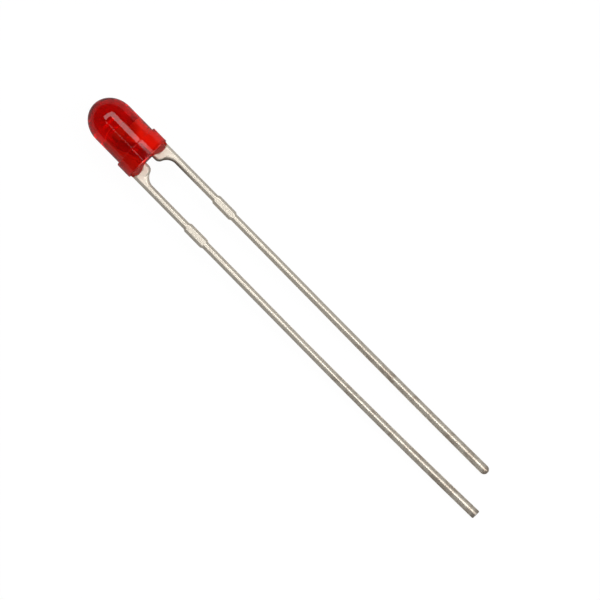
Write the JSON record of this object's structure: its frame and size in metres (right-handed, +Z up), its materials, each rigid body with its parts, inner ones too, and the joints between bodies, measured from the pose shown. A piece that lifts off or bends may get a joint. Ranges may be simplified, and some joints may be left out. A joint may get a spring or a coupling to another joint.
{
  "type": "through hole led",
  "caption": "Round-topped through-hole indicator light: red tinted lens with a narrow rim, a chip in a reflector cup, and long flat-sided tinned leads.",
  "frame": {"origin": "centre of the seat, the body's flat underside between the two leads", "axes": "+Z up from the surface that the LED lies on; +X along the leads, seen from above, with the dome towards -X; +Y towards the cathode. The LED's own axis leans 2.7 degrees down towards the lead tips, as it comes to rest"},
  "size_m": [0.0357, 0.0034, 0.0034],
  "materials": {
    "tinted_epoxy": "gloss",
    "tinned_lead": "satin",
    "chip": "satin",
    "silver_resin": "matte",
    "gold_wire": "polished"
  },
  "bodies": {
    "root": {"epoxy_lens": "tinted_epoxy", "anode_lead": "tinned_lead", "cathode_lead": "tinned_lead", "led_die": "chip", "die_attach": "silver_resin", "bond_wire": "gold_wire"}
  },
  "joints": []
}
